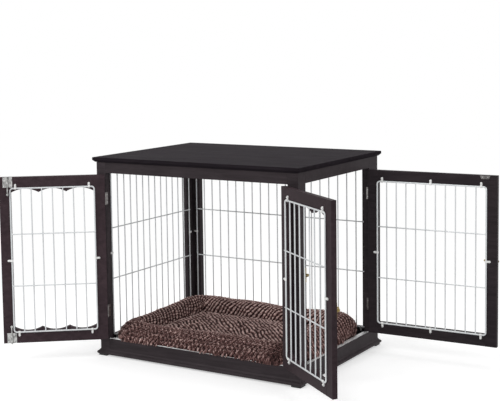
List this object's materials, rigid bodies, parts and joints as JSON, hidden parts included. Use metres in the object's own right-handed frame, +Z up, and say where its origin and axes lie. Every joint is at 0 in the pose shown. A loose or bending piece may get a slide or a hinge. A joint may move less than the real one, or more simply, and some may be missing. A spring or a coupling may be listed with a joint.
{
  "type": "dog crate end table",
  "caption": "Low wooden end table with wire sides, paired front doors and one end door, slide bolts, a floor tray and a bolster bed.",
  "frame": {"origin": "centre of the crate's footprint, on the floor", "axes": "+X along the front from left to right, +Y from the front doors to the back, +Z up"},
  "size_m": [1.4476, 0.7987, 0.67],
  "materials": {
    "espresso_wood": "satin dark espresso stain over fine grain",
    "top_wood": "satin dark espresso tabletop",
    "door_wood": "satin reddish espresso stain",
    "white_wire": "glossy pale powder coat",
    "clip_plastic": "glossy white",
    "hinge_steel": "bright nickel plate",
    "bolt_steel": "zinc plate",
    "latch_brass": "polished",
    "magnet_steel": "nickel plate",
    "sill_metal": "ribbed, bright",
    "screw_steel": "zinc plate",
    "foot_rubber": "matt",
    "tray_plastic": "fine texture",
    "bed_plush": "deep swirled plush"
  },
  "bodies": {
    "crate": {"top_panel": "top_wood", "front_apron": "espresso_wood", "back_apron": "espresso_wood", "left_apron": "espresso_wood", "right_apron": "espresso_wood", "front_left_post": "espresso_wood", "front_right_post": "espresso_wood", "back_left_post": "espresso_wood", "back_right_post": "espresso_wood", "front_bottom_rail": "espresso_wood", "back_bottom_rail": "espresso_wood", "left_bottom_rail": "espresso_wood", "right_bottom_rail": "espresso_wood", "base_moulding_front": "espresso_wood", "base_moulding_right": "espresso_wood", "base_moulding_back": "espresso_wood", "base_moulding_left": "espresso_wood", "corner_feet": "foot_rubber", "sill_strips": "sill_metal", "floor_cleats": "espresso_wood", "floor_board": "espresso_wood", "top_corner_blocks": "espresso_wood", "top_screws": "screw_steel", "door_magnets": "magnet_steel", "back_wire_panel": "white_wire", "left_wire_panel": "white_wire", "fixed_panel_clips": "clip_plastic", "post_hinge_leaves": "hinge_steel", "hinge_pins": "hinge_steel", "slide_bolt_keepers": "bolt_steel", "side_latch_keeper": "latch_brass"},
    "tray": {"floor_tray": "tray_plastic"},
    "bed": {"bed_bolster": "bed_plush", "bed_pad": "bed_plush"},
    "left_door": {"left_door_stiles": "door_wood", "left_door_rails": "door_wood", "left_door_wire_panel": "white_wire", "left_door_wire_clips": "clip_plastic", "left_door_hinge_leaves": "hinge_steel", "slide_bolt_guides": "bolt_steel", "front_latch_keeper": "latch_brass"},
    "right_door": {"right_door_stiles": "door_wood", "right_door_rails": "door_wood", "right_door_wire_panel": "white_wire", "right_door_wire_clips": "clip_plastic", "right_door_hinge_leaves": "hinge_steel", "front_latch_guide": "latch_brass"},
    "side_door": {"side_door_stiles": "door_wood", "side_door_rails": "door_wood", "side_door_wire_panel": "white_wire", "side_door_wire_clips": "clip_plastic", "side_door_hinge_leaves": "hinge_steel", "side_latch_guide": "latch_brass", "side_door_counter_plate": "bolt_steel"},
    "upper_slide_bolt": {"upper_slide_bolt": "bolt_steel"},
    "lower_slide_bolt": {"lower_slide_bolt": "bolt_steel"},
    "front_latch_bolt": {"front_latch_bolt": "latch_brass"},
    "side_latch_bolt": {"side_latch_bolt": "latch_brass"}
  },
  "joints": [
    {"name": "left_door_hinge", "type": "hinge", "parent": "crate", "child": "left_door", "pos_m": [-0.345, -0.2828, 0.339], "axis": [0, 0, -1], "range_deg": [-142, 33]},
    {"name": "right_door_hinge", "type": "hinge", "parent": "crate", "child": "right_door", "pos_m": [0.345, -0.2828, 0.339], "axis": [0, 0, 1], "range_deg": [-143, 32]},
    {"name": "side_door_hinge", "type": "hinge", "parent": "crate", "child": "side_door", "pos_m": [0.3848, 0.213, 0.339], "axis": [0, 0, 1], "range_deg": [-92, 83]},
    {"name": "upper_bolt_slide", "type": "slide", "parent": "left_door", "child": "upper_slide_bolt", "axis": [0, 0, 1], "range_m": [0, 0.014]},
    {"name": "lower_bolt_slide", "type": "slide", "parent": "left_door", "child": "lower_slide_bolt", "axis": [0, 0, -1], "range_m": [0, 0.014]},
    {"name": "front_latch_slide", "type": "slide", "parent": "right_door", "child": "front_latch_bolt", "axis": [0.7986, -0.6018, 0], "range_m": [0, 0.014]},
    {"name": "side_latch_slide", "type": "slide", "parent": "side_door", "child": "side_latch_bolt", "axis": [0.9994, 0.0349, 0], "range_m": [0, 0.014]},
    {"name": "tray_lift", "type": "slide", "parent": "crate", "child": "tray", "axis": [0, 0, 1], "range_m": [0, 0.06]},
    {"name": "bed_lift", "type": "slide", "parent": "tray", "child": "bed", "axis": [0, 0, 1], "range_m": [0, 0.12]}
  ]
}
